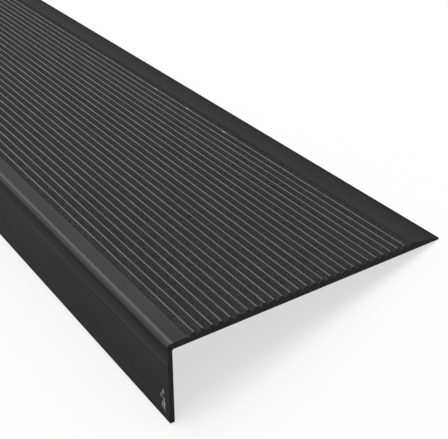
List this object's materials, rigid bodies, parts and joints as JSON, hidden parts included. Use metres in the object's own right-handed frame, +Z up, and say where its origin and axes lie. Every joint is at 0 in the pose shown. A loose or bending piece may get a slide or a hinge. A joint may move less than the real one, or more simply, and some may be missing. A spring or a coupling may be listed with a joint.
{
  "type": "stair nosing",
  "caption": "Ribbed L-section stair nosing strip with a rounded nose, a plain front leg and a tapered rear edge, bonded over the front edge of a step.",
  "frame": {"origin": "on the floor, under the middle of the strip's box", "axes": "+X along the strip, -Y towards the nose and leg, +Z up from the floor; the tread leans back on its rear edge"},
  "size_m": [0.9, 0.0826, 0.0214],
  "materials": {
    "black_anodised": "satin black anodised extrusion with bright worn rib crests and dark sawn ends"
  },
  "bodies": {
    "root": {"stair_nosing": "black_anodised"}
  },
  "joints": []
}
